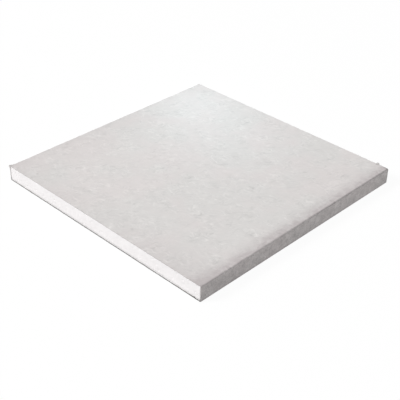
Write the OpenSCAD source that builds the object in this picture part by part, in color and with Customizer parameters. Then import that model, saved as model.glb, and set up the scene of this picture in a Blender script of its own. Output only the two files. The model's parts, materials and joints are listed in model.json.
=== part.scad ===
// Drywall sheet: a gypsum core between a face paper and a back paper.
// The sheet lies flat with its face up. X runs across the sheet, from one paper-bound edge
// to the other, Y runs along it, between the two cut ends, and Z is its thickness.
// The origin is at the centre of the back, on the surface that the sheet lies on.
// All sizes are in millimetres.

/* [Sheet] */
// Width across the two paper-bound edges
sheet_w = 203.2; // [120:0.1:1220]
// Length between the two cut ends
sheet_l = 203.2; // [120:0.1:3660]
// Thickness over both papers
sheet_t = 12.7; // [9.5:0.1:25.4]

/* [Papers] */
// Thickness of the face paper
face_paper_t = 0.5; // [0.3:0.05:0.7]
// Thickness of the back paper
back_paper_t = 0.7; // [0.3:0.05:0.8]
// Width of face paper folded under the core along each bound edge
fold_w = 25; // [15:1:40]
// Width of that fold which the back paper leaves bare, flush with it
fold_bare_w = 6; // [3:0.5:12]

/* [Bound edges] */
// Radius of the upper arris, outside the paper
face_arris_r = 1; // [0.8:0.1:3]
// Radius of the lower arris, outside the paper
back_arris_r = 0.8; // [0.8:0.1:2]

/* [Hidden] */
$fn = 96;

// Height to which the back paper presses the folds that it laps over
fold_z = back_paper_t;
// Place across the sheet where the back paper ends and each fold steps down beside it
lap_x = sheet_w / 2 - fold_bare_w;
// Half the width of the core's tongue, which fills the gap between the two folds
tongue_half_w = sheet_w / 2 - fold_w;
// Height at which that tongue has joined the rest of the core
tongue_top_z = sheet_t / 2;

// Centres of the arris curves, which every layer of the edge shares
face_arris_x = sheet_w / 2 - face_arris_r;
face_arris_z = sheet_t - face_arris_r;
back_arris_x = sheet_w / 2 - back_arris_r;
back_arris_z = back_arris_r;

// How far a cutting shape runs past the face that it opens
cut_margin = 1;

// Runs a section, drawn as X and Z, along the whole length of the sheet
module along_length() {
    rotate([90, 0, 0])
        linear_extrude(height = sheet_l, center = true)
            children();
}

// Rectangle between two heights, from x_from to x_to
module band(x_from, x_to, z_low, z_high) {
    translate([x_from, z_low])
        square([x_to - x_from, z_high - z_low]);
}

// The +X half of the wrap, with its arrises and its stepped fold, at a depth under the paper's surface
module bound_edge_section(depth) {
    band(0, face_arris_x, face_arris_z, sheet_t - depth);
    translate([face_arris_x, face_arris_z])
        circle(r = face_arris_r - depth);
    band(lap_x + depth, sheet_w / 2 - depth, back_arris_z, face_arris_z);
    translate([back_arris_x, back_arris_z])
        circle(r = back_arris_r - depth);
    band(lap_x + depth, back_arris_x, depth, back_arris_z);
    band(0, lap_x + depth, fold_z + depth, face_arris_z);
}

// Section of everything inside the face paper's wrap, at a depth under its outer surface
module wrapped_section(depth) {
    bound_edge_section(depth);
    mirror([1, 0])
        bound_edge_section(depth);
}

// The set gypsum, cast between the papers: its tongue fills the gap between the folds
module gypsum_core() {
    color("whitesmoke")
        along_length() {
            wrapped_section(face_paper_t);
            band(-tongue_half_w, tongue_half_w, fold_z, tongue_top_z);
        }
}

// One paper over the face, round both bound edges and folded under the core
module face_paper() {
    color("gainsboro")
        along_length()
            difference() {
                wrapped_section(0);
                wrapped_section(face_paper_t);
                band(-tongue_half_w, tongue_half_w, fold_z - cut_margin, tongue_top_z);
            }
}

// One flat paper over the back, lapped over both folds and flush with their bare strips
module back_paper() {
    color("darkgray")
        along_length()
            band(-lap_x, lap_x, 0, back_paper_t);
}

gypsum_core();
face_paper();
back_paper();
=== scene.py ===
"""Dresses a drywall sheet: gypsum core, two papers, the loose fibres of their cut edges, and the stage.

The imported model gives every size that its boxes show. The fold and the arrises, which no box shows, are
repeated here from the model's own source. X runs across the sheet between its two paper-bound edges,
Y runs along it between its two cut ends, and Z is its thickness, up out of its face. Lengths are in
metres, but materials count in millimetres.
"""

import json
import math

import bpy
import numpy as np
from bpy.props import FloatProperty, FloatVectorProperty, IntProperty, PointerProperty
from mathutils import Matrix, Vector

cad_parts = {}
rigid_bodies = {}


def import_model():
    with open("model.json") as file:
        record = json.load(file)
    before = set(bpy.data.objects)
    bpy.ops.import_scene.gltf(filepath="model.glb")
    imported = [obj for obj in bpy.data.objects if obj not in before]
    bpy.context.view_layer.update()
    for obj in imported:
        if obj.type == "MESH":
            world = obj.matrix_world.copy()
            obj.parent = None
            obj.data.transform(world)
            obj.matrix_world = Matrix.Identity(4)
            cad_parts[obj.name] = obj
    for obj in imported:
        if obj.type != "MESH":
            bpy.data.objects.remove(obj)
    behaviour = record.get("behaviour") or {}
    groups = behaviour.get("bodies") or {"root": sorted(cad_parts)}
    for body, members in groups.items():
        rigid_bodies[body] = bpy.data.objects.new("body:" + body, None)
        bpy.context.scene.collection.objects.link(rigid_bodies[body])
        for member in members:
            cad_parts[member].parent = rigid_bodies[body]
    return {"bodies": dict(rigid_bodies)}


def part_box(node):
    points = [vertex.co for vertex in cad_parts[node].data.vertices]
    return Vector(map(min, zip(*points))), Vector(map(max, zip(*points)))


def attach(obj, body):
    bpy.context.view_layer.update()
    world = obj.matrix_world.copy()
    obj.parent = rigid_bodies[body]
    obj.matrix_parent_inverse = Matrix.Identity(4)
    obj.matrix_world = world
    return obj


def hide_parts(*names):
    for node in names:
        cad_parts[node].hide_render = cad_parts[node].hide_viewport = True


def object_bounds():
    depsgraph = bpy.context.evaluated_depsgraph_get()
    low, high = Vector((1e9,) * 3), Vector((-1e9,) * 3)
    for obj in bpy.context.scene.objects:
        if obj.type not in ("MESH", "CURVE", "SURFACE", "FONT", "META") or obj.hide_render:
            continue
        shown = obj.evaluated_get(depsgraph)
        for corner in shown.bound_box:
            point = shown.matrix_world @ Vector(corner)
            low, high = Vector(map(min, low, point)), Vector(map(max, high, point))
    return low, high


bl_info = {
    "name": "Drywall Sheet",
    "version": (1, 0, 0),
    "blender": (4, 5, 0),
    "location": "3D View > Sidebar > Drywall",
    "description": "Papers, gypsum core, loose fibres and stage of a drywall sheet",
    "category": "Object",
}

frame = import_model()
CAD_LOW, CAD_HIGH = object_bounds()
CORE_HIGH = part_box("gypsum_core")[1]
BACK_LOW, BACK_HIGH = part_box("back_paper")

# Nothing on the sheet moves, so the frame has one body
(BODY,) = frame["bodies"]

MM = 0.001
MM_PER_METRE = 1000.0
TOLERANCE = 1e-9
PHOTO_PIXELS = 400
SENSOR_MM = 36.0
SHARP_ANGLE = math.radians(40)
FLOOR_REACH = 40.0
WHITE = (1.0, 1.0, 1.0, 1.0)

# Least height of a loose fibre above the floor
FLOOR_CLEARANCE = 0.02 * MM

# How much of the inner plies' colour shows on a cut edge dusted with gypsum, and on the torn bit, where
# that darker colour is partly its plies and partly painted shade
DUSTED_SHARE = 0.18
TORN_PLIES_AND_SHADE = 0.5

# Normal of a square corner of the stepped fold, which sets off both of its sides
MITRE = (-1.0, -1.0)

# Attributes of the meshes
CUT_EDGE = "cut_edge"
INWARD = "inward"

# Inputs of the cut relief, titled as the gypsum's properties are named
RELIEF_DEPTHS = ("Grain Depth", "Swell Depth", "Pore Depth")
RELIEF_SIZES = ("Grain Size", "Swell Size", "Pore Spacing", "Pore Reach")

# Seeds of everything random, in pairs for the front and rear cut end
COCKLE_SEED = 11
LIFT_SEED = 12
DENT_SEED = 13
FACE_FRAY_SEEDS = (21, 22)
BACK_FRAY_SEEDS = (31, 32)
FACE_FIBRE_SEED = 41
BACK_FIBRE_SEED = 51
TORN_FRAY_SEED = 61


# Properties


def length(name, description, default):
    """A length in metres, shown finely enough for paper."""
    return FloatProperty(name=name, description=description, default=default, unit="LENGTH", precision=5)


def angle(name, description, degrees):
    """An angle, written in degrees and kept in radians."""
    radians = math.radians(degrees)
    return FloatProperty(name=name, description=description, default=radians, unit="ROTATION")


def share(name, description, default):
    """A plain number from nought to about one."""
    settings = {"subtype": "FACTOR", "soft_max": 1.0}
    return FloatProperty(name=name, description=description, default=default, **settings)


def offset(name, description, default):
    """Distances in metres along X, Y and Z."""
    settings = {"subtype": "XYZ", "unit": "LENGTH", "size": 3, "precision": 4}
    return FloatVectorProperty(name=name, description=description, default=default, **settings)


def colour(name, description, default):
    """A linear colour."""
    settings = {"subtype": "COLOR", "size": 3, "min": 0.0, "max": 1.0}
    return FloatVectorProperty(name=name, description=description, default=default, **settings)


class DrywallSizes(bpy.types.PropertyGroup):
    """Sizes of the sheet and of its layers."""

    width: length("Width", "Across the two paper-bound edges", CAD_HIGH.x - CAD_LOW.x)
    run: length("Length", "Along the sheet, between the two cut ends", CAD_HIGH.y - CAD_LOW.y)
    thickness: length("Thickness", "Over both papers", CAD_HIGH.z - CAD_LOW.z)
    face_paper: length("Face paper", "Thickness of the face paper", CAD_HIGH.z - CORE_HIGH.z)
    back_paper: length("Back paper", "Thickness of the back paper", BACK_HIGH.z - BACK_LOW.z)
    back_width: length("Back width", "Between the back paper's lapped edges", BACK_HIGH.x - BACK_LOW.x)
    fold: length("Fold", "Width of face paper folded under the core along each bound edge", 25 * MM)
    face_arris: length("Upper arris", "Radius of the upper arris, outside the paper", 1.0 * MM)
    back_arris: length("Lower arris", "Radius of the lower arris, outside the paper", 0.8 * MM)


class DrywallGypsum(bpy.types.PropertyGroup):
    """Colour and relief of the cut gypsum."""

    tint: colour("Colour", "Dry gypsum, freshly cut", (0.91, 0.885, 0.886))
    mesh_step: length("Mesh step", "Spacing of the points over a cut end", 0.28 * MM)
    grain_depth: length("Grain depth", "Depth of the fine roughness of the cut", 0.06 * MM)
    grain_size: length("Grain size", "Size of the fine roughness of the cut", 0.7 * MM)
    swell_depth: length("Swell depth", "Depth of the broad unevenness of the cut", 0.12 * MM)
    swell_size: length("Swell size", "Size of the broad unevenness of the cut", 9 * MM)
    pore_depth: length("Pore depth", "Depth of the widest air pores", 0.3 * MM)
    pore_spacing: length("Pore spacing", "Distance between neighbouring air pores", 1.9 * MM)
    pore_reach: share("Pore reach", "Radius of the widest pores as a share of their spacing", 0.3)


class DrywallPapers(bpy.types.PropertyGroup):
    """Colours and relief of the two papers."""

    face_warm: colour("Face, warm", "Warmer clouds of the face paper", (0.719, 0.683, 0.673))
    face_cool: colour("Face, cool", "Cooler clouds of the face paper", (0.703, 0.685, 0.672))
    # The handled colour is painted shade: it darkens the face along its edges and over the bound edges
    face_shade_colour: colour("Face, handled", "Face paper rubbed along its edges", (0.537, 0.498, 0.497))
    face_plies: colour("Face plies", "Grey inner plies that the cut edge shows", (0.16, 0.156, 0.153))
    back_tint: colour("Back", "Recycled paper of the back", (0.30, 0.285, 0.265))
    back_plies: colour("Back plies", "Dark inner plies that the cut edge shows", (0.14, 0.135, 0.132))
    station_step: length("Mesh step", "Spacing of the points across a paper", 0.8 * MM)
    rows: IntProperty(name="Rows", description="Rows of points along a paper", default=140)
    cockle: length("Cockle", "Height of the slight waves of the face", 0.035 * MM)
    fray: length("Fray", "Unevenness of a cut edge", 0.06 * MM)
    edge_lift: length("Edge lift", "How far the face paper's cut edges stand off in places", 0.12 * MM)
    lifted_tip: length("Lifted tip", "How far the paper stands off at the front left corner", 0.6 * MM)
    torn_width: length("Torn width", "Width of the torn bit of face paper at the rear end", 4.0 * MM)
    torn_height: length("Torn height", "How far that bit stands up", 1.35 * MM)
    swollen_plies: length("Swollen plies", "How far the cut plies swell at the bound edges", 0.4 * MM)
    arris_dents: length("Arris dents", "Depth of the slight dents along the upper arrises", 0.1 * MM)
    fibre_density: FloatProperty(
        name="Fibre density", description="Loose fibres on a square millimetre of cut edge", default=4.0
    )
    fibre_length: length("Fibre length", "Length of the longest loose fibres", 1.3 * MM)
    fibre_radius: length("Fibre radius", "Half the thickness of a loose fibre", 0.02 * MM)


class DrywallStage(bpy.types.PropertyGroup):
    """Camera, floor and lamps."""

    azimuth: angle("Azimuth", "Turn of the camera round the sheet, from its front end", 44.0358)
    elevation: angle("Elevation", "Height of the camera above the horizon", 33.3624)
    roll: angle("Roll", "Turn of the camera about its own line of sight", 1.0081)
    distance: length("Distance", "From the camera to the middle of the sheet", 0.678983)
    slide_across: length("Slide across", "Sideways shift, across the line of sight", 0.000383)
    slide_up: length("Slide up", "Upward shift, across the line of sight", -0.019584)
    focal_pixels: FloatProperty(
        name="Focal length",
        description="Focal length, in pixels of the photograph",
        default=890.11,
        subtype="PIXEL",
    )
    sky: share("Sky", "Brightness of the surroundings as they light the sheet", 0.32)
    floor_bounce: share("Floor bounce", "Share of light that the floor throws back on the sheet", 0.38)
    floor_shade: share("Floor shade", "Share of the floor's own look that shows shadow", 0.05)
    key_azimuth: angle("Key azimuth", "Turn of the key lamp round the sheet, from its front end", -34.0)
    key_elevation: angle("Key elevation", "Height of the key lamp above the horizon", 38.5)
    key_distance: length("Key distance", "From the key lamp to the sheet", 6.0)
    key_size: length("Key size", "Side of the square key lamp", 1.8)
    key_level: share("Key level", "Light of the key lamp on a surface that faces it", 1.02)
    fill_azimuth: angle("Fill azimuth", "Turn of the fill lamp round the sheet, from its front end", 95.0)
    fill_elevation: angle("Fill elevation", "Height of the fill lamp above the horizon", 5.0)
    fill_distance: length("Fill distance", "From the fill lamp to the sheet", 2.5)
    fill_size: length("Fill size", "Side of the square fill lamp", 0.8)
    fill_level: share("Fill level", "Light of the fill lamp on a surface that faces it", 0.27)
    corner_level: share("Corner level", "Light of the small lamp over the far corner", 0.292)
    corner_place: offset("Corner place", "From the far corner of the face", (0.017, -0.0227, 0.0494))
    inner_level: share("Inner level", "Light of the small lamp further in over the face", 0.16)
    inner_place: offset("Inner place", "From the far corner of the face", (0.072, -0.0468, 0.0734))
    glow_size: length("Glow size", "Side of the two small square lamps", 0.05)
    glow_tint: colour("Glow colour", "Colour of the two small lamps", (0.71, 0.93, 1.0))


# Meshes


def grid(x, y, z):
    """Points of a grid, columns by rows, from the X, Y and Z that they have."""
    return np.stack(np.broadcast_arrays(x, y, z), axis=-1)


def grid_quads(columns, rows, first=0):
    """Corner numbers of the quads of a grid of points, numbered row by row within each column."""
    column, row = np.meshgrid(np.arange(columns - 1), np.arange(rows - 1), indexing="ij")
    corner = (first + column * rows + row).ravel()
    return np.stack([corner, corner + rows, corner + rows + 1, corner + 1], axis=1)


def border_ring(columns, rows):
    """Numbers of a grid's outermost points, in order round it."""
    number = np.arange(columns * rows).reshape(columns, rows)
    sides = [number[:-1, 0], number[-1, :-1], number[:0:-1, -1], number[0, :0:-1]]
    return np.concatenate(sides)


def closed_slab(outer, inner):
    """Points and quads of the solid between two grids, its rim's quads last, and the rim's points."""
    columns, rows = outer.shape[:2]
    count = columns * rows
    points = np.concatenate([outer.reshape(-1, 3), inner.reshape(-1, 3)])
    ring = border_ring(columns, rows)
    after = np.roll(ring, -1)
    rim = np.stack([ring, ring + count, after + count, after], axis=1)
    far_side = grid_quads(columns, rows, count)[:, ::-1]
    return points, np.concatenate([grid_quads(columns, rows), far_side, rim]), ring


def cut_strips(outer, inner):
    """Points and quads of a paper's two cut edges, facing out of the sheet."""
    columns = outer.shape[0]
    front = np.stack([inner[:, 0], outer[:, 0]], axis=1)
    rear = np.stack([outer[:, -1], inner[:, -1]], axis=1)
    points = np.concatenate([front.reshape(-1, 3), rear.reshape(-1, 3)])
    return points, np.concatenate([grid_quads(columns, 2), grid_quads(columns, 2, columns * 2)])


def mesh_object(name, points, quads, material):
    """A new object at the origin, smooth but for its sharp edges."""
    mesh = bpy.data.meshes.new(name)
    mesh.from_pydata(points.tolist(), [], quads.tolist())
    mesh.materials.append(material)
    mesh.shade_smooth()
    mesh.set_sharp_from_angle(angle=SHARP_ANGLE)
    piece = bpy.data.objects.new(name, mesh)
    bpy.context.scene.collection.objects.link(piece)
    return piece


def mark_cut_edges(piece, shares):
    """Marks how much of a paper's inner plies shows on each of the last faces of a piece."""
    faces = len(piece.data.polygons)
    cut = np.zeros(faces, np.float32)
    cut[faces - len(shares) :] = shares
    piece.data.attributes.new(CUT_EDGE, "FLOAT", "FACE").data.foreach_set("value", cut)


def apply_nodes(piece, tree, values):
    """Runs a geometry tree on an object with the given inputs and keeps the result as its plain mesh."""
    modifier = piece.modifiers.new(tree.name, "NODES")
    modifier.node_group = tree
    for item in tree.interface.items_tree:
        if item.in_out == "INPUT" and item.name in values:
            modifier[item.identifier] = values[item.name]
    evaluated = piece.evaluated_get(bpy.context.evaluated_depsgraph_get())
    before = piece.data
    piece.data = bpy.data.meshes.new_from_object(evaluated)
    piece.modifiers.clear()
    piece.data.name = piece.name
    bpy.data.meshes.remove(before)
    if not piece.data.polygons:
        raise RuntimeError(f"{tree.name} left {piece.name} empty")


def settle(piece, node=None):
    """Puts a finished piece on the sheet's body, in its finish and in place of its plain solid."""
    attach(piece, BODY)
    if node:
        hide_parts(node)


# Node trees


def pick(sockets, key):
    """A node's socket in use, by its name or its place in the order."""
    usable = [socket for socket in sockets if socket.enabled]
    if isinstance(key, int):
        return usable[key]
    return next(socket for socket in usable if socket.name == key)


class Flow:
    """A node's output that takes part in expressions: arithmetic on it adds Math nodes."""

    def __init__(self, tree, socket):
        self.tree = tree
        self.socket = socket

    @staticmethod
    def node(tree, kind, settings=None, sockets=None, output=0):
        """Adds a node of that kind with its settings, then its sockets' values or links."""
        made = tree.nodes.new(kind)
        for name, value in (settings or {}).items():
            setattr(made, name, value)
        for key, value in (sockets or {}).items():
            target = pick(made.inputs, key)
            if isinstance(value, Flow):
                tree.links.new(value.socket, target)
            else:
                target.default_value = value
        return Flow(tree, pick(made.outputs, output)) if made.outputs else None

    def then(self, kind, settings=None, sockets=None, output=0):
        """Adds a node to the same tree."""
        return Flow.node(self.tree, kind, settings, sockets, output)

    def also(self, output):
        """Another output of the same node."""
        return Flow(self.tree, pick(self.socket.node.outputs, output))

    def math(self, operation, *operands):
        """Adds a Math node."""
        return self.then("ShaderNodeMath", {"operation": operation}, dict(enumerate(operands)))

    def __add__(self, other):
        return self.math("ADD", self, other)

    __radd__ = __add__

    def __sub__(self, other):
        return self.math("SUBTRACT", self, other)

    def __rsub__(self, other):
        return self.math("SUBTRACT", other, self)

    def __mul__(self, other):
        return self.math("MULTIPLY", self, other)

    __rmul__ = __mul__

    def __truediv__(self, other):
        return self.math("DIVIDE", self, other)

    def __rtruediv__(self, other):
        return self.math("DIVIDE", other, self)

    def __pow__(self, other):
        return self.math("POWER", self, other)

    def __abs__(self):
        return self.math("ABSOLUTE", self)

    def __lt__(self, other):
        return self.math("LESS_THAN", self, other)

    def at_least(self, other):
        """The greater of this value and another."""
        return self.math("MAXIMUM", self, other)

    def ramp(self, low, high, start=0.0, end=1.0):
        """Goes smoothly from start to end as the value goes from low to high."""
        sockets = {"Value": self, "From Min": low, "From Max": high, "To Min": start, "To Max": end}
        return self.then("ShaderNodeMapRange", {"interpolation_type": "SMOOTHSTEP"}, sockets)

    def straight_ramp(self, low, high):
        """Rises in a straight line from nought to one as the value goes from low to high."""
        return self.then("ShaderNodeMapRange", None, {"Value": self, "From Min": low, "From Max": high})

    def mix(self, first, second):
        """Goes from the first colour to the second as this value goes from nought to one."""
        sockets = {"Factor": self, "A": first, "B": second}
        return self.then("ShaderNodeMix", {"data_type": "RGBA"}, sockets)

    def tinted(self, paint):
        """A colour times this value."""
        settings = {"data_type": "RGBA", "blend_type": "MULTIPLY"}
        return self.then("ShaderNodeMix", settings, {"Factor": 1.0, "A": paint, "B": self})

    def axes(self):
        """The X, Y and Z of this place."""
        x = self.then("ShaderNodeSeparateXYZ", None, {"Vector": self})
        return x, x.also("Y"), x.also("Z")

    def vector_math(self, operation, other):
        """This vector combined with another one."""
        return self.then("ShaderNodeVectorMath", {"operation": operation}, {0: self, 1: other})

    def scaled(self, factor):
        """This vector times a number or a value."""
        return self.then("ShaderNodeVectorMath", {"operation": "SCALE"}, {"Vector": self, "Scale": factor})

    def noise(self, per_unit, detail=2.0, roughness=0.5):
        """Cloudy value round a half, at this place."""
        sockets = {"Vector": self, "Scale": per_unit, "Detail": detail, "Roughness": roughness}
        return self.then("ShaderNodeTexNoise", None, sockets)

    def bent(self, per_unit, reach):
        """This place pushed about by soft noise, so that straight strokes drawn on it curve."""
        push = self.noise(per_unit, detail=1.0).also("Color").scaled(reach)
        return self.vector_math("ADD", push)


def opaque(rgb):
    """A colour with full alpha, as a node's socket takes it."""
    return (*rgb, 1.0)


def emptied_tree(owner):
    """The node tree of a material or of the surroundings, with nothing in it."""
    owner.use_nodes = True
    owner.node_tree.nodes.clear()
    return owner.node_tree


def new_material(name):
    """A material without a shader yet, and the place on its piece in millimetres."""
    material = bpy.data.materials.new(name)
    spot = Flow.node(emptied_tree(material), "ShaderNodeTexCoord", output="Object")
    return material, spot.scaled(MM_PER_METRE)


def close_material(place, sockets):
    """Ends a material with a shader that has these values and links."""
    shader = place.then("ShaderNodeBsdfPrincipled", None, sockets)
    place.then("ShaderNodeOutputMaterial", None, {"Surface": shader})


def bump(height, distance_mm, strength):
    """Surface normals of a fine relief."""
    sockets = {"Strength": strength, "Distance": distance_mm * MM, "Height": height}
    return height.then("ShaderNodeBump", None, sockets)


def cut_share(place):
    """How much of a paper's inner plies shows here."""
    return place.then("ShaderNodeAttribute", {"attribute_name": CUT_EDGE}, output="Fac")


def flecks(place, spacing_mm, reach, chance):
    """Sparse round flecks, one where a cell's own number falls under the chance."""
    sockets = {"Vector": place, "Scale": 1.0 / spacing_mm}
    cell = place.then("ShaderNodeTexVoronoi", None, sockets, "Distance")
    number = place.then("ShaderNodeSeparateColor", None, {"Color": cell.also("Color")})
    return cell.ramp(reach, 0.0) * (number < chance)


def fibre_strokes(place, degrees, span_mm, thick_mm):
    """Fine scattered strokes that lie about one direction, as fibres in paper do."""
    turn = (0.0, 0.0, math.radians(degrees))
    sockets = {"Vector": place, "Rotation": turn, "Scale": (span_mm, thick_mm, thick_mm)}
    laid = place.then("ShaderNodeMapping", {"vector_type": "TEXTURE"}, sockets)
    return laid.noise(1.0, detail=1.0).ramp(0.52, 0.84)


# Finishes


def gypsum_material(gypsum, sizes):
    """Chalky white gypsum with faint clouds and a powdery surface, and painted shade next to the back
    paper.
    """
    material, place = new_material("cut_gypsum")
    clouds = place.noise(0.11, detail=3.0)
    powder = place.noise(4.5, detail=4.0, roughness=0.65)
    specks = flecks(place, spacing_mm=1.3, reach=0.16, chance=0.4)
    height = place.axes()[2]
    foot = sizes.back_paper / MM
    # Painted shade along the foot of the cut end, just above the back paper
    foot_shade = height.ramp(foot + 2.2, foot) * place.noise(0.45).ramp(0.3, 0.7, start=0.75, end=1.25)
    level = 0.985 + 0.08 * (clouds - 0.4) - 0.12 * specks + 0.07 * (powder - 0.5) - 0.24 * foot_shade
    sockets = {
        "Base Color": level.tinted(opaque(gypsum.tint)),
        "Roughness": 0.86 + 0.1 * (powder - 0.5),
        "Specular IOR Level": 0.25,
        "Normal": bump(powder - 0.6 * specks, distance_mm=0.08, strength=0.5),
    }
    close_material(place, sockets)
    return material


class FaceMarks:
    """Texture, wear and painted light and shade of the face paper, laid out by distances in millimetres
    from the sheet's edges.
    """

    def __init__(self, place, sizes):
        self.place = place
        x, self.y, self.z = place.axes()
        self.half_run = sizes.run / 2 / MM
        self.from_right = sizes.width / 2 / MM - x
        self.from_left = sizes.width / 2 / MM + x
        self.from_front = self.half_run + self.y
        self.from_rear = self.half_run - self.y
        self.below_face = sizes.thickness / MM - self.z
        # One on the face and nought on the bound edges, with a wandering line between them
        wander = 1.2 * (place.noise(0.13, detail=3.0) - 0.5)
        self.flat = (self.below_face - wander).ramp(1.0, 0.35)
        self.side = 1.0 - self.flat
        self.cut = cut_share(place)
        self.mottle = place.noise(0.2, roughness=0.55)
        self.tooth = place.noise(1.1, detail=3.0, roughness=0.6)
        curved = place.bent(0.12, reach=9.0)
        self.pale_fibres = fibre_strokes(curved, 32.0, 9.5, 1.9) + fibre_strokes(curved, -12.0, 8.5, 1.7)
        self.dark_fibres = fibre_strokes(curved, 54.0, 9.0, 2.1) + fibre_strokes(curved, 85.0, 8.5, 1.9)

    def painted_shade(self):
        """How far the paper takes the colour of painted shade, on the face and on the bound edges."""
        sides = self.shade_on_sides()
        return sides + self.flat * (self.shade_on_face() - sides)

    def shade_on_face(self):
        """Painted shade on the face: most in an uneven band along the right bound edge, less along the
        left edge and the front end.
        """
        patchy = self.place.noise(0.16, detail=3.0, roughness=0.6).ramp(0.34, 0.66, start=0.65, end=1.35)
        right = self.from_right.straight_ramp(18.0, 3.0) ** 2.5 * patchy
        left = self.from_left.straight_ramp(8.0, 0.0) ** 2.0
        front = self.from_front.straight_ramp(30.0, 0.0)
        left_front = self.from_left.straight_ramp(40.0, 0.0) * self.y.straight_ramp(70.0, 0.0)
        right_corner = front * self.from_right.straight_ramp(70.0, 0.0)
        return 0.88 * right + 0.16 * (left + front + left_front) + 0.34 * right_corner

    def shade_on_sides(self):
        """Painted shade on the bound edges: more on the right one, darkest at their foot and least a
        little above it.
        """
        upper = self.z.ramp(2.2, 5.0, start=0.36, end=0.57)
        lower = self.z.ramp(2.2, 1.4, start=0.0, end=0.4)
        right = self.from_right.ramp(3.0, 1.0)
        left = self.from_left.ramp(3.0, 1.0)
        return (upper + lower) * (right + 0.4 * left)

    def tone(self):
        """Lightness of the paper as a share of its colour."""
        patches = self.place.noise(0.07, detail=1.0).ramp(0.35, 0.65, start=0.5, end=1.5)
        grain = 0.14 * (self.mottle - 0.5) + 0.08 * (self.tooth - 0.5)
        grain = grain + 0.075 * self.pale_fibres - 0.065 * self.dark_fibres
        # The bound edges grow darker towards the front end
        front_darkening = self.y.straight_ramp(self.half_run, -self.half_run) ** 2.0
        rough = 0.8 * (self.tooth - 0.5) + 0.5 * (self.mottle - 0.5) - 0.09 * front_darkening
        return 1.0 + patches * grain + self.side * rough + self.specks() + self.corner_light_and_shade()

    def specks(self):
        """Lightness added by sparse flecks, scuffs at the foot and specks beside the arris."""
        sparse = flecks(self.place, spacing_mm=13.0, reach=0.055, chance=0.4)
        scuffs = flecks(self.place, spacing_mm=1.7, reach=0.32, chance=0.4)
        scuffs = scuffs * self.z.ramp(4.5, 1.0) * self.mottle.ramp(0.4, 0.6)
        pale = flecks(self.place, spacing_mm=2.1, reach=0.42, chance=0.45)
        pale = pale * self.from_right.ramp(5.0, 2.0) * self.flat
        dark = flecks(self.place, spacing_mm=2.6, reach=0.34, chance=0.4)
        dark = dark * self.below_face.ramp(4.5, 1.5) * self.side
        return 0.15 * pale - 0.24 * dark - 0.12 * sparse - 0.25 * scuffs

    def corner_light_and_shade(self):
        """Painted light at the lifted tip, and painted shade at the rear right corner and along the right
        arris.
        """
        tip = self.from_left.ramp(3.5, 1.5) * self.from_front.ramp(3.5, 1.5)
        tip = tip * self.below_face.ramp(4.0, 2.0) * (0.28 * self.side + 1.6 * self.cut)
        rear = self.from_rear.ramp(1.8, 0.4) * self.from_right.ramp(4.5, 2.5)
        arris = self.from_right.ramp(1.5, 0.6) * self.y.straight_ramp(-self.half_run, 0.4 * self.half_run)
        return tip - rear * (0.12 + 0.26 * self.flat) - 0.2 * arris * self.flat

    def relief(self):
        """Fine relief of the paper, roughest on its sides."""
        fibres = 0.7 * self.pale_fibres - 0.6 * self.dark_fibres
        return 0.6 * self.tooth + fibres + 0.4 * self.mottle + self.side * self.tooth


def face_paper_material(papers, sizes):
    """Light grey paper with soft clouds and fine fibres, painted shade along its edges and over its bound
    edges, its cut plies grey.
    """
    material, place = new_material("fibrous_face_paper")
    marks = FaceMarks(place, sizes)
    clouds = place.noise(0.035).ramp(0.35, 0.65)
    paper = clouds.mix(opaque(papers.face_warm), opaque(papers.face_cool))
    # Painted shade along the edges and over the bound edges, in its own darker colour
    paper = marks.painted_shade().mix(paper, opaque(papers.face_shade_colour))
    paper = marks.cut.mix(paper, opaque(papers.face_plies))
    sockets = {
        "Base Color": marks.tone().tinted(paper),
        "Roughness": 0.62 + 0.14 * (marks.tooth - 0.5) + 0.2 * marks.cut,
        "Specular IOR Level": 0.18,
        "Normal": bump(marks.relief(), distance_mm=0.04, strength=0.45),
    }
    close_material(place, sockets)
    return material


def back_paper_material(papers):
    """Grey recycled paper with dark and pale flecks, darker where its plies are cut."""
    material, place = new_material("flecked_back_paper")
    clouds = place.noise(0.06, detail=3.0)
    tooth = place.noise(2.6, detail=3.0, roughness=0.65)
    strokes = fibre_strokes(place, 20.0, 4.0, 0.5) + fibre_strokes(place, -40.0, 3.5, 0.5)
    dark_flecks = flecks(place, spacing_mm=4.0, reach=0.09, chance=0.35)
    pale_flecks = flecks(place, spacing_mm=5.5, reach=0.08, chance=0.3)
    level = 1.0 + 0.16 * (clouds - 0.5) + 0.16 * (tooth - 0.5) + 0.08 * strokes
    level = level - 0.35 * dark_flecks + 0.3 * pale_flecks
    paper = cut_share(place).mix(opaque(papers.back_tint), opaque(papers.back_plies))
    sockets = {
        "Base Color": level.tinted(paper),
        "Roughness": 0.72 + 0.14 * (tooth - 0.5),
        "Specular IOR Level": 0.3,
        "Normal": bump(tooth + 0.8 * strokes, distance_mm=0.04, strength=0.45),
    }
    close_material(place, sockets)
    return material


# Section of the wrap


def arc(centre, radius, start, end, count):
    """Points and outward normals of an arc, its angles from up towards +X, without its first point."""
    turn = np.linspace(start, end, count + 1)[1:]
    normal = np.stack([np.sin(turn), np.cos(turn)], axis=1)
    return np.array(centre) + radius * normal, normal


def straight(start, end, normal, count):
    """Points and normals along a line, without its first point."""
    along = np.linspace(0.0, 1.0, count + 1)[1:, None]
    points = np.array(start) + along * (np.array(end) - np.array(start))
    return points, np.tile(np.array(normal, float), (count, 1))


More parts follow.
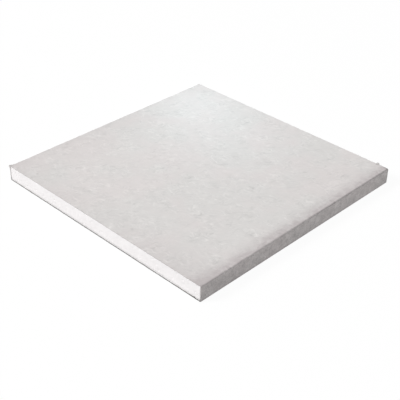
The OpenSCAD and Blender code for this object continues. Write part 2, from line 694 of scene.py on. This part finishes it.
def wrap_section(sizes, step):
    """Outer surface of the face paper's wrap as X and Z, with its normals, from one fold to the other.

    Each fold steps up beside the edge of the back paper, and the step's two square corners are mitred.
    """
    half = sizes.width / 2
    top = sizes.thickness
    face_arris = (half - sizes.face_arris, top - sizes.face_arris)
    back_arris = (half - sizes.back_arris, sizes.back_arris)
    lap = sizes.back_width / 2
    fold_height = sizes.back_paper
    quarter = math.pi / 2
    face = straight((0, top), (face_arris[0], top), (0, 1), count=round(face_arris[0] / step))
    upper_arris = arc(face_arris, sizes.face_arris, 0.0, quarter, count=9)
    bound_edge = straight((half, face_arris[1]), (half, back_arris[1]), (1, 0), count=11)
    lower_arris = arc(back_arris, sizes.back_arris, quarter, 2 * quarter, count=7)
    bare_strip = straight((back_arris[0], 0.0), (lap, 0.0), (0, -1), count=5)
    step_up = straight((lap, 0.0), (lap, fold_height), (-1, 0), count=1)
    fold = straight((lap, fold_height), (half - sizes.fold, fold_height), (0, -1), count=14)
    for _, turned in (bare_strip, step_up):
        turned[-1] = MITRE
    runs = (face, upper_arris, bound_edge, lower_arris, bare_strip, step_up, fold)
    points = np.concatenate([run[0] for run in runs])
    normals = np.concatenate([run[1] for run in runs])
    mirror = np.array([-1.0, 1.0])
    points = np.concatenate([points[::-1] * mirror, [[0.0, top]], points])
    normals = np.concatenate([normals[::-1] * mirror, [[0.0, 1.0]], normals])
    return points, normals


def lapped_places(sizes, section, normals):
    """Which places round the wrap the back paper laps over."""
    return (normals[:, 1] < 0.0) & (np.abs(section[:, 0]) < sizes.back_width / 2)


def bared_plies(sizes, papers):
    """How much of its inner plies the face paper's cut edge shows at each place round the wrap."""
    section, normals = wrap_section(sizes, papers.station_step)
    upright = 1.0 - np.clip(normals[:, 1], 0.0, 1.0)
    # The cut edge shows more of its plies lower down, most at the foot
    darker_reach = 4.0 * MM
    darker_fade = 0.8
    lower_plies = 1.0 - darker_fade * np.clip(section[:, 1] / darker_reach, 0.0, 1.0)
    shares = DUSTED_SHARE + (lower_plies - DUSTED_SHARE) * upright
    return np.where(lapped_places(sizes, section, normals), 0.0, shares)


# Unevenness


def cockle(x, y, height):
    """Slight waves of a paper's surface, as a sum of plane waves of about 15 to 45 mm."""
    rng = np.random.default_rng(COCKLE_SEED)
    waves = 14
    total = np.zeros_like(x)
    for _ in range(waves):
        heading = rng.uniform(0.0, math.pi)
        pitch = rng.uniform(15, 45) * MM
        phase = rng.uniform(0.0, 2 * math.pi)
        total += np.sin(2 * math.pi * (x * math.cos(heading) + y * math.sin(heading)) / pitch + phase)
    return height * total / math.sqrt(waves)


def ripple(along, side, seed):
    """Uneven rise of an edge, from nought to one and a half, as a sum of waves of 5 to 25 mm along it."""
    rng = np.random.default_rng(seed)
    waves = 6
    total = np.zeros_like(along)
    for _ in range(waves):
        pitch = rng.uniform(5, 25) * MM
        phase = rng.uniform(0.0, 2 * math.pi)
        total += np.sin(2 * math.pi * along / pitch + phase * side)
    usual_rise = 0.4
    most_rise = 1.5
    return np.clip(usual_rise + total / math.sqrt(waves), 0.0, most_rise)


def fray(count, depth, seed):
    """Uneven steps of a cut edge, one for each point along it, smoothed over three points."""
    rough = np.random.default_rng(seed).normal(size=count + 2)
    smoothed = 0.25 * rough[:-2] + 0.5 * rough[1:-1] + 0.25 * rough[2:]
    smoothed_spread = 0.61
    return depth * smoothed / smoothed_spread


def soft_spot(points, centre, reach):
    """One at the centre, falling to nought over about two reaches."""
    away = np.linalg.norm((points - np.array(centre)) / np.array(reach), axis=-1)
    return np.exp(-(away**2))


# Shapes of the sheet


def crowded_rows(run, count):
    """Places along the sheet, from one cut end to the other, closest together at the ends."""
    crowding = 1.8
    return run / 2 * np.tanh(crowding * np.linspace(-1.0, 1.0, count)) / math.tanh(crowding)


class WrappedPaper:
    """Outer and inner grid of the face paper, across by along, which each method shapes further."""

    def __init__(self, sizes, papers):
        self.sizes = sizes
        self.papers = papers
        self.section, self.section_normals = wrap_section(sizes, papers.station_step)
        self.facing_up = np.clip(self.section_normals[:, 1:], 0.0, 1.0)
        rows = crowded_rows(sizes.run, papers.rows)
        self.outer = grid(self.section[:, :1], rows, self.section[:, 1:])
        level = np.zeros_like(rows)
        self.normal = grid(self.section_normals[:, :1], level, self.section_normals[:, 1:])
        self.inner = self.outer - sizes.face_paper * self.normal

    def near_cut(self, reach):
        """One at the cut edges, fading away from them over the reach."""
        return np.exp(-self.from_cut / reach)

    def wave_face(self):
        """Raises slight waves on the outside of the face."""
        waves = cockle(self.outer[..., 0] + self.outer[..., 2], self.outer[..., 1], self.papers.cockle)
        self.outer += (waves * self.facing_up)[..., None] * self.normal

    def fray_cut_edges(self):
        """Makes the cut edges uneven and measures how far each point is from the nearer cut end."""
        for row, seed in zip((0, -1), FACE_FRAY_SEEDS):
            uneven = fray(len(self.section), self.papers.fray, seed)
            self.outer[:, row, 1] += uneven
            self.inner[:, row, 1] += uneven
        self.from_cut = self.sizes.run / 2 - np.abs(self.outer[..., 1])
        self.nearer_end = np.sign(self.outer[..., 1])

    def lift_cut_edges(self):
        """Lets the face stand off the core in places along its cut edges."""
        uneven = ripple(self.outer[..., 0], self.nearer_end, LIFT_SEED)
        lift = self.papers.edge_lift * self.facing_up * uneven * self.near_cut(reach=3.0 * MM)
        self.outer[..., 2] += lift
        self.inner[..., 2] += lift

    def swell_plies(self):
        """Swells the cut plies inwards at the bound edges, the right one most, and draws them out."""
        lapped = lapped_places(self.sizes, self.section, self.section_normals)[:, None]
        bound = np.where(lapped, 0.0, 1.0 - self.facing_up) * self.near_cut(reach=0.7 * MM)
        left_share = 0.3
        swelling = self.papers.swollen_plies * np.where(self.outer[..., 0] > 0.0, 1.0, left_share)
        self.inner -= (swelling * bound)[..., None] * self.normal
        drawn = self.papers.fray * bound * self.nearer_end
        self.outer[..., 1] += drawn
        self.inner[..., 1] += drawn

    def dent_arrises(self):
        """Presses slight dents into the upper arrises, away from the cut edges."""
        across, up = self.section_normals.T
        rounded = np.clip(2.0 * np.abs(across) * up, 0.0, 1.0)[:, None]
        uneven = ripple(self.outer[..., 1], np.sign(self.outer[..., 0]), DENT_SEED)
        dents = self.papers.arris_dents * rounded * uneven * (1.0 - self.near_cut(reach=10.0 * MM))
        self.outer -= dents[..., None] * self.normal

    def lift_tip(self):
        """Stands the paper off the core at the front left corner, forwards and a little up."""
        corner = (-self.sizes.width / 2, -self.sizes.run / 2, self.sizes.thickness)
        reach = (2.2 * MM, 2.0 * MM, 2.0 * MM)
        forwards_and_up = np.array([0.0, -1.0, 0.3])
        inner_share = 0.1
        tip = soft_spot(self.outer, corner, reach)[..., None]
        push = self.papers.lifted_tip * (self.normal + forwards_and_up)
        self.outer += tip * push
        self.inner += inner_share * tip * push


def face_paper_surfaces(sizes, papers):
    """Outer and inner grid of the finished face paper."""
    paper = WrappedPaper(sizes, papers)
    paper.wave_face()
    paper.fray_cut_edges()
    paper.lift_cut_edges()
    paper.swell_plies()
    paper.dent_arrises()
    paper.lift_tip()
    return paper.outer, paper.inner


def torn_bit_surfaces(sizes, papers):
    """Front and rear grid of the torn bit of face paper, which tapers and curls up."""
    count = 13
    from_right = 9.5 * MM
    taper = 0.45
    unevenness = 0.25
    raggedness = 0.04
    full_curl = math.radians(80)
    thickness = 0.5 * sizes.face_paper
    across = np.linspace(-1.0, 1.0, count)[:, None]
    along = np.linspace(0.0, 1.0, count)
    curl = full_curl * along
    hump = np.cos(2.2 * across + 0.5)
    ragged = 1.0 - unevenness + unevenness * hump + fray(count, raggedness, TORN_FRAY_SEED)[:, None]
    raised = papers.torn_height * ragged * (1.0 - np.cos(curl)) / (1.0 - math.cos(full_curl))
    x = sizes.width / 2 - from_right + papers.torn_width / 2 * across * (1.0 - taper * along)
    y = sizes.run / 2 - papers.torn_height * (1.0 - np.sin(curl))
    z = sizes.thickness + raised
    return grid(x, y, z), grid(x, y + thickness * np.sin(curl), z - thickness * np.cos(curl))


def back_paper_surfaces(sizes, papers):
    """Lower and upper grid of the back paper, with its frayed ends."""
    count = round(sizes.back_width / papers.station_step)
    across = sizes.back_width * np.linspace(-0.5, 0.5, count)[:, None]
    upper = grid(across, crowded_rows(sizes.run, papers.rows), sizes.back_paper)
    for row, seed in zip((0, -1), BACK_FRAY_SEEDS):
        upper[:, row, 1] += fray(count, papers.fray, seed)
    lower = upper * np.array([1.0, 1.0, 0.0])
    return lower[::-1], upper[::-1]


def core_columns(sizes, papers, step):
    """Places across the core with the core's lowest and highest point at each of them."""
    section, normals = wrap_section(sizes, papers.station_step)
    cast = section - sizes.face_paper * normals
    half_wrap = cast[len(cast) // 2 :]
    widest = int(np.argmax(half_wrap[:, 0] > half_wrap[:, 0].max() - TOLERANCE))
    over = half_wrap[: widest + 1]
    under = half_wrap[np.argmax(half_wrap[:, 1] < sizes.back_arris + TOLERANCE) :][::-1]
    arris_start = half_wrap[widest, 0] - (sizes.face_arris - sizes.face_paper)
    even = np.linspace(0.0, arris_start, round(arris_start / step) + 1)
    least_gap = 0.2 * step
    rounded = over[over[:, 0] > arris_start + least_gap, 0]
    tongue = sizes.width / 2 - sizes.fold
    lap = sizes.back_width / 2 + sizes.face_paper
    half_slope = 0.01 * MM
    slopes = [place + side * half_slope for place in (tongue, lap) for side in (-1, 1)]
    right = np.unique(np.concatenate([even, rounded, slopes]))
    columns = np.concatenate([-right[:0:-1], right])
    reach = np.abs(columns)
    top = np.interp(reach, over[:, 0], over[:, 1])
    foot = np.interp(reach, under[:, 0], under[:, 1])
    foot[reach < tongue] = sizes.back_paper
    return columns, foot, top


def core_mesh(sizes, gypsum, papers):
    """Points and quads of the core, finest on its cut ends, and which way each point is pressed in."""
    columns, foot, top = core_columns(sizes, papers, gypsum.mesh_step)
    levels = round(sizes.thickness / gypsum.mesh_step)
    height = foot[:, None] + np.linspace(0.0, 1.0, levels) * (top - foot)[:, None]
    front = grid(columns[:, None], -sizes.run / 2, height)
    rear = grid(columns[:, None], sizes.run / 2, height)
    points, quads, _ = closed_slab(front, rear)
    rim_share = 0.4
    weight = np.full_like(height, rim_share)
    weight[1:-1, 1:-1] = 1.0
    inward = np.stack([grid(0.0, weight, 0.0), grid(0.0, -weight, 0.0)])
    return points, quads, inward.reshape(-1, 3)


# Geometry trees


def new_geometry_tree(name, inputs):
    """A geometry tree with a geometry socket each way and the given number inputs."""
    tree = bpy.data.node_groups.new(name, "GeometryNodeTree")
    tree.interface.new_socket("Geometry", in_out="INPUT", socket_type="NodeSocketGeometry")
    for title in inputs:
        tree.interface.new_socket(title, in_out="INPUT", socket_type="NodeSocketFloat")
    tree.interface.new_socket("Geometry", in_out="OUTPUT", socket_type="NodeSocketGeometry")
    return tree, Flow.node(tree, "NodeGroupInput", output="Geometry")


def close_tree(geometry, material):
    """Ends a tree with plain meshes in one material."""
    plain = geometry.then("GeometryNodeRealizeInstances", None, {"Geometry": geometry})
    finished = geometry.then("GeometryNodeSetMaterial", None, {"Geometry": plain, "Material": material})
    geometry.then("NodeGroupOutput", None, {"Geometry": finished})


def cut_relief_tree(material):
    """Presses roughness and air pores into the points that carry an inward direction."""
    tree, start = new_geometry_tree("Cut relief", RELIEF_DEPTHS + RELIEF_SIZES)
    grain_depth, swell_depth, pore_depth = (start.also(title) for title in RELIEF_DEPTHS)
    grain_size, swell_size, pore_spacing, pore_reach = (start.also(title) for title in RELIEF_SIZES)
    place = start.then("GeometryNodeInputPosition")
    grain = place.scaled(1.0 / grain_size).noise(1.0, detail=3.0, roughness=0.6)
    swell = place.scaled(1.0 / swell_size).noise(1.0).ramp(0.3, 0.7)
    sockets = {"Vector": place.scaled(1.0 / pore_spacing), "Scale": 1.0}
    cell = place.then("ShaderNodeTexVoronoi", None, sockets, "Distance")
    number = place.then("FunctionNodeSeparateColor", None, {"Color": cell.also("Color")})
    least_reach = 0.02
    hollow = 1.0 - (cell / (number * pore_reach + least_reach)) ** 2
    pore = hollow.at_least(0.0) ** 0.5
    depth = grain * grain_depth + swell * swell_depth + pore * pore_depth
    inward = start.then("GeometryNodeInputNamedAttribute", {"data_type": "FLOAT_VECTOR"}, {"Name": INWARD})
    sockets = {"Geometry": start, "Offset": inward.scaled(depth)}
    close_tree(start.then("GeometryNodeSetPosition", None, sockets), material)
    return tree


def bent_fibre(start):
    """One fibre that curves along Z, in the length and radius that the tree is given."""
    span = start.also("Length")
    bends = {"Start": {"Z": -0.15}, "Middle": {"X": 0.12, "Z": 0.45}, "End": {"X": -0.2, "Z": 0.85}}
    sockets = {"Resolution": 4}
    for name, parts in bends.items():
        reach = {axis: span * part for axis, part in parts.items()}
        sockets[name] = start.then("ShaderNodeCombineXYZ", None, reach)
    curve = start.then("GeometryNodeCurveQuadraticBezier", None, sockets)
    sockets = {"Resolution": 3, "Radius": start.also("Radius")}
    ring = start.then("GeometryNodeCurvePrimitiveCircle", None, sockets)
    sockets = {"Curve": curve, "Profile Curve": ring, "Fill Caps": True}
    return start.then("GeometryNodeCurveToMesh", None, sockets)


def fibre_tree(material, seed):
    """Scatters bent fibres over the faces of cut edges, leaning out of them and kept above the floor."""
    tree, start = new_geometry_tree("Loose fibres", ("Density", "Length", "Radius"))
    sockets = {"Mesh": start, "Density": start.also("Density"), "Seed": seed}
    settings = {"distribute_method": "RANDOM"}
    points = start.then("GeometryNodeDistributePointsOnFaces", settings, sockets, "Points")
    sockets = {"Min": (-1.0, -1.0, -0.1), "Max": (1.0, 1.0, 0.7), "Seed": seed + 1}
    stray = start.then("FunctionNodeRandomValue", {"data_type": "FLOAT_VECTOR"}, sockets)
    outward_share = 0.45
    lean = points.also("Normal").scaled(outward_share).vector_math("ADD", stray)
    turn = start.then("FunctionNodeAlignRotationToVector", {"axis": "Z"}, {"Vector": lean})
    sockets = {"Min": 0.3, "Max": 1.0, "Seed": seed + 2}
    size = start.then("FunctionNodeRandomValue", {"data_type": "FLOAT"}, sockets)
    sockets = {"Points": points, "Instance": bent_fibre(start), "Rotation": turn, "Scale": size}
    placed = start.then("GeometryNodeInstanceOnPoints", None, sockets)
    plain = start.then("GeometryNodeRealizeInstances", None, {"Geometry": placed})
    place = start.then("GeometryNodeInputPosition")
    above = place.vector_math("MAXIMUM", (-1.0, -1.0, FLOOR_CLEARANCE))
    lifted = start.then("GeometryNodeSetPosition", None, {"Geometry": plain, "Position": above})
    close_tree(lifted, material)
    return tree


# Stage


def bearing(azimuth, elevation):
    """Unit vector from the sheet towards a camera or lamp at these angles, azimuth from the front end."""
    flat = math.cos(elevation)
    return Vector((math.sin(azimuth) * flat, -math.cos(azimuth) * flat, math.sin(elevation)))


def add_camera(stage, sizes):
    """Puts the camera where the photograph was taken from."""
    back = bearing(stage.azimuth, stage.elevation)
    level = Vector((math.cos(stage.azimuth), math.sin(stage.azimuth), 0.0))
    upright = back.cross(level)
    right = level * math.cos(stage.roll) + upright * math.sin(stage.roll)
    up = back.cross(right)
    lens = bpy.data.cameras.new("camera")
    lens.sensor_width = SENSOR_MM
    lens.lens = stage.focal_pixels / PHOTO_PIXELS * SENSOR_MM
    lens.clip_start = 10 * MM
    camera = bpy.data.objects.new("camera", lens)
    middle = Vector((0.0, 0.0, sizes.thickness / 2))
    turn = Matrix((right, up, back)).transposed().to_4x4()
    place = middle + back * stage.distance + right * stage.slide_across + up * stage.slide_up
    camera.matrix_world = Matrix.Translation(place) @ turn
    bpy.context.scene.collection.objects.link(camera)
    bpy.context.scene.camera = camera


def background_rays(tree):
    """One for the rays that show the background itself, and nought for those that light the sheet."""
    rays = Flow.node(tree, "ShaderNodeLightPath", output="Is Camera Ray")
    seen = rays.at_least(rays.also("Is Glossy Ray"))
    return seen.at_least(rays.also("Is Transmission Ray"))


def add_surroundings(stage):
    """White surroundings that light the sheet at a lower, even level."""
    world = bpy.data.worlds.new("surroundings")
    bpy.context.scene.world = world
    strength = background_rays(emptied_tree(world)).ramp(0.0, 1.0, start=stage.sky, end=1.0)
    light = strength.then("ShaderNodeBackground", None, {"Color": WHITE, "Strength": strength})
    light.then("ShaderNodeOutputWorld", None, {"Surface": light})


def floor_material(stage, sizes):
    """Pale floor that shows as white with a faint shadow, and as plain matt under the sheet."""
    material, place = new_material("pale_floor")
    x, y = place.axes()[:2]
    half_width = (sizes.width / 2 - sizes.back_arris) / MM
    half_run = sizes.run / 2 / MM
    covered = (abs(x) < half_width) * (abs(y) < half_run)
    open_floor = background_rays(place.tree) * (1.0 - covered)
    matt = place.then("ShaderNodeBsdfDiffuse", None, {"Color": opaque([stage.floor_bounce] * 3)})
    shaded = place.then("ShaderNodeBsdfDiffuse", None, {"Color": opaque([stage.floor_shade] * 3)})
    glow = place.then("ShaderNodeEmission", None, {"Color": WHITE, "Strength": 1.0 - stage.floor_shade})
    pale = place.then("ShaderNodeAddShader", None, {0: shaded, 1: glow})
    seen = place.then("ShaderNodeMixShader", None, {0: open_floor, 1: matt, 2: pale})
    place.then("ShaderNodeOutputMaterial", None, {"Surface": seen})
    return material


def add_floor(stage, sizes):
    """A wide level floor at the foot of the sheet."""
    corners = FLOOR_REACH * np.array([(-1, -1, 0), (1, -1, 0), (1, 1, 0), (-1, 1, 0)])
    floor = mesh_object("floor", corners, np.array([[0, 1, 2, 3]]), floor_material(stage, sizes))


def add_lamp(name, towards, distance, size, level, target=(0.0, 0.0, 0.0), tint=(1.0, 1.0, 1.0)):
    """A soft square lamp aimed at the target, where a white surface that faces it gets the given level."""
    lamp = bpy.data.lights.new(name, "AREA")
    lamp.size = size
    lamp.color = tint
    lamp.energy = level * (math.pi * distance) ** 2
    holder = bpy.data.objects.new(name, lamp)
    aim = towards.to_track_quat("Z", "Y").to_matrix().to_4x4()
    holder.matrix_world = Matrix.Translation(Vector(target) + towards * distance) @ aim
    holder.visible_camera = False
    bpy.context.scene.collection.objects.link(holder)


def add_lamps(stage, sizes):
    """The key and fill lamps, and two small lamps that shine down over the far corner of the face."""
    key_way = bearing(stage.key_azimuth, stage.key_elevation)
    add_lamp("key_lamp", key_way, stage.key_distance, stage.key_size, stage.key_level)
    fill_way = bearing(stage.fill_azimuth, stage.fill_elevation)
    add_lamp("fill_lamp", fill_way, stage.fill_distance, stage.fill_size, stage.fill_level)
    far_corner = Vector((-sizes.width / 2, sizes.run / 2, sizes.thickness))
    upward = Vector((0.0, 0.0, 1.0))
    glows = (
        ("corner_lamp", Vector(stage.corner_place), stage.corner_level),
        ("inner_lamp", Vector(stage.inner_place), stage.inner_level),
    )
    for name, place, level in glows:
        under = far_corner + place - upward * place.z
        add_lamp(name, upward, place.z, stage.glow_size, level, under, stage.glow_tint)


# Operators


class DRYWALL_OT_gypsum_core(bpy.types.Operator):
    """Casts the gypsum core and gives its two cut ends their roughness and air pores"""

    bl_idname = "drywall.gypsum_core"
    bl_label = "Gypsum Core"

    def execute(self, context):
        scene = context.scene
        gypsum = scene.drywall_gypsum
        material = gypsum_material(gypsum, scene.drywall_sizes)
        points, quads, inward = core_mesh(scene.drywall_sizes, gypsum, scene.drywall_papers)
        core = mesh_object("cast_gypsum_core", points, quads, material)
        direction = core.data.attributes.new(INWARD, "FLOAT_VECTOR", "POINT")
        direction.data.foreach_set("vector", inward.astype(np.float32).ravel())
        titles = RELIEF_DEPTHS + RELIEF_SIZES
        values = {title: getattr(gypsum, title.lower().replace(" ", "_")) for title in titles}
        apply_nodes(core, cut_relief_tree(material), values)
        core.data.attributes.remove(core.data.attributes[INWARD])
        settle(core, "gypsum_core")
        return {"FINISHED"}


class DRYWALL_OT_papers(bpy.types.Operator):
    """Lays the face paper over the face and round the bound edges, and the back paper over the back"""

    bl_idname = "drywall.papers"
    bl_label = "Papers"

    def execute(self, context):
        sizes = context.scene.drywall_sizes
        papers = context.scene.drywall_papers
        finish = face_paper_material(papers, sizes)
        points, quads, ring = closed_slab(*face_paper_surfaces(sizes, papers))
        face = mesh_object("wrapped_face_paper", points, quads, finish)
        mark_cut_edges(face, bared_plies(sizes, papers)[ring // papers.rows])
        settle(face, "face_paper")
        points, quads, _ = closed_slab(*torn_bit_surfaces(sizes, papers))
        torn = mesh_object("torn_face_paper", points, quads, finish)
        # The torn bit's darker ply colour is partly painted shade
        mark_cut_edges(torn, np.full(len(quads), TORN_PLIES_AND_SHADE))
        settle(torn)
        points, quads, ring = closed_slab(*back_paper_surfaces(sizes, papers))
        back = mesh_object("lapped_back_paper", points, quads, back_paper_material(papers))
        end_zone = 0.5 * MM
        on_cut_end = np.abs(points[ring, 1]) > sizes.run / 2 - end_zone
        mark_cut_edges(back, on_cut_end.astype(float))
        settle(back, "back_paper")
        return {"FINISHED"}


class DRYWALL_OT_loose_fibres(bpy.types.Operator):
    """Scatters the loose fibres that stand out of the papers' cut edges"""

    bl_idname = "drywall.loose_fibres"
    bl_label = "Loose Fibres"

    def execute(self, context):
        sizes = context.scene.drywall_sizes
        papers = context.scene.drywall_papers
        values = {
            "Density": papers.fibre_density / MM**2,
            "Length": papers.fibre_length,
            "Radius": papers.fibre_radius,
        }
        face = face_paper_surfaces(sizes, papers)
        back = back_paper_surfaces(sizes, papers)
        hosts = (
            ("wrapped_face_paper", "face_paper", face, FACE_FIBRE_SEED, DUSTED_SHARE),
            ("lapped_back_paper", "back_paper", back, BACK_FIBRE_SEED, 1.0),
        )
        for host, slot, surfaces, seed, plies in hosts:
            material = bpy.data.objects[host].active_material
            fibres = mesh_object(slot + "_fibres", *cut_strips(*surfaces), material)
            apply_nodes(fibres, fibre_tree(material, seed), values)
            mark_cut_edges(fibres, np.full(len(fibres.data.polygons), plies))
            settle(fibres)
        return {"FINISHED"}


class DRYWALL_OT_stage(bpy.types.Operator):
    """Sets up the camera, the surroundings, the pale floor and the lamps"""

    bl_idname = "drywall.stage"
    bl_label = "Stage"

    def execute(self, context):
        stage = context.scene.drywall_stage
        sizes = context.scene.drywall_sizes
        add_camera(stage, sizes)
        add_surroundings(stage)
        add_floor(stage, sizes)
        add_lamps(stage, sizes)
        context.scene.view_settings.view_transform = "Standard"
        return {"FINISHED"}


# Panel and registration


class DRYWALL_PT_sheet(bpy.types.Panel):
    """Lists the steps and the values of the drywall sheet"""

    bl_idname = "DRYWALL_PT_sheet"
    bl_label = "Drywall Sheet"
    bl_space_type = "VIEW_3D"
    bl_region_type = "UI"
    bl_category = "Drywall"

    def draw(self, context):
        layout = self.layout
        for step in STEPS:
            layout.operator(step.bl_idname)
        for name, group in GROUPS.items():
            box = layout.box()
            values = getattr(context.scene, name)
            for key in group.__annotations__:
                box.prop(values, key)


STEPS = (DRYWALL_OT_gypsum_core, DRYWALL_OT_papers, DRYWALL_OT_loose_fibres, DRYWALL_OT_stage)
GROUPS = {
    "drywall_sizes": DrywallSizes,
    "drywall_gypsum": DrywallGypsum,
    "drywall_papers": DrywallPapers,
    "drywall_stage": DrywallStage,
}


def register():
    """Adds the groups of values, the steps and the panel to Blender."""
    for name, group in GROUPS.items():
        bpy.utils.register_class(group)
        setattr(bpy.types.Scene, name, PointerProperty(type=group))
    for shown in (*STEPS, DRYWALL_PT_sheet):
        bpy.utils.register_class(shown)


def unregister():
    """Takes them away again, the last one first."""
    for shown in (DRYWALL_PT_sheet, *reversed(STEPS)):
        bpy.utils.unregister_class(shown)
    for name, group in reversed(GROUPS.items()):
        delattr(bpy.types.Scene, name)
        bpy.utils.unregister_class(group)


def main():
    """Makes the sheet and its stage."""
    register()
    bpy.ops.drywall.gypsum_core()
    bpy.ops.drywall.papers()
    bpy.ops.drywall.loose_fibres()
    bpy.ops.drywall.stage()


if __name__ == "__main__":
    main()
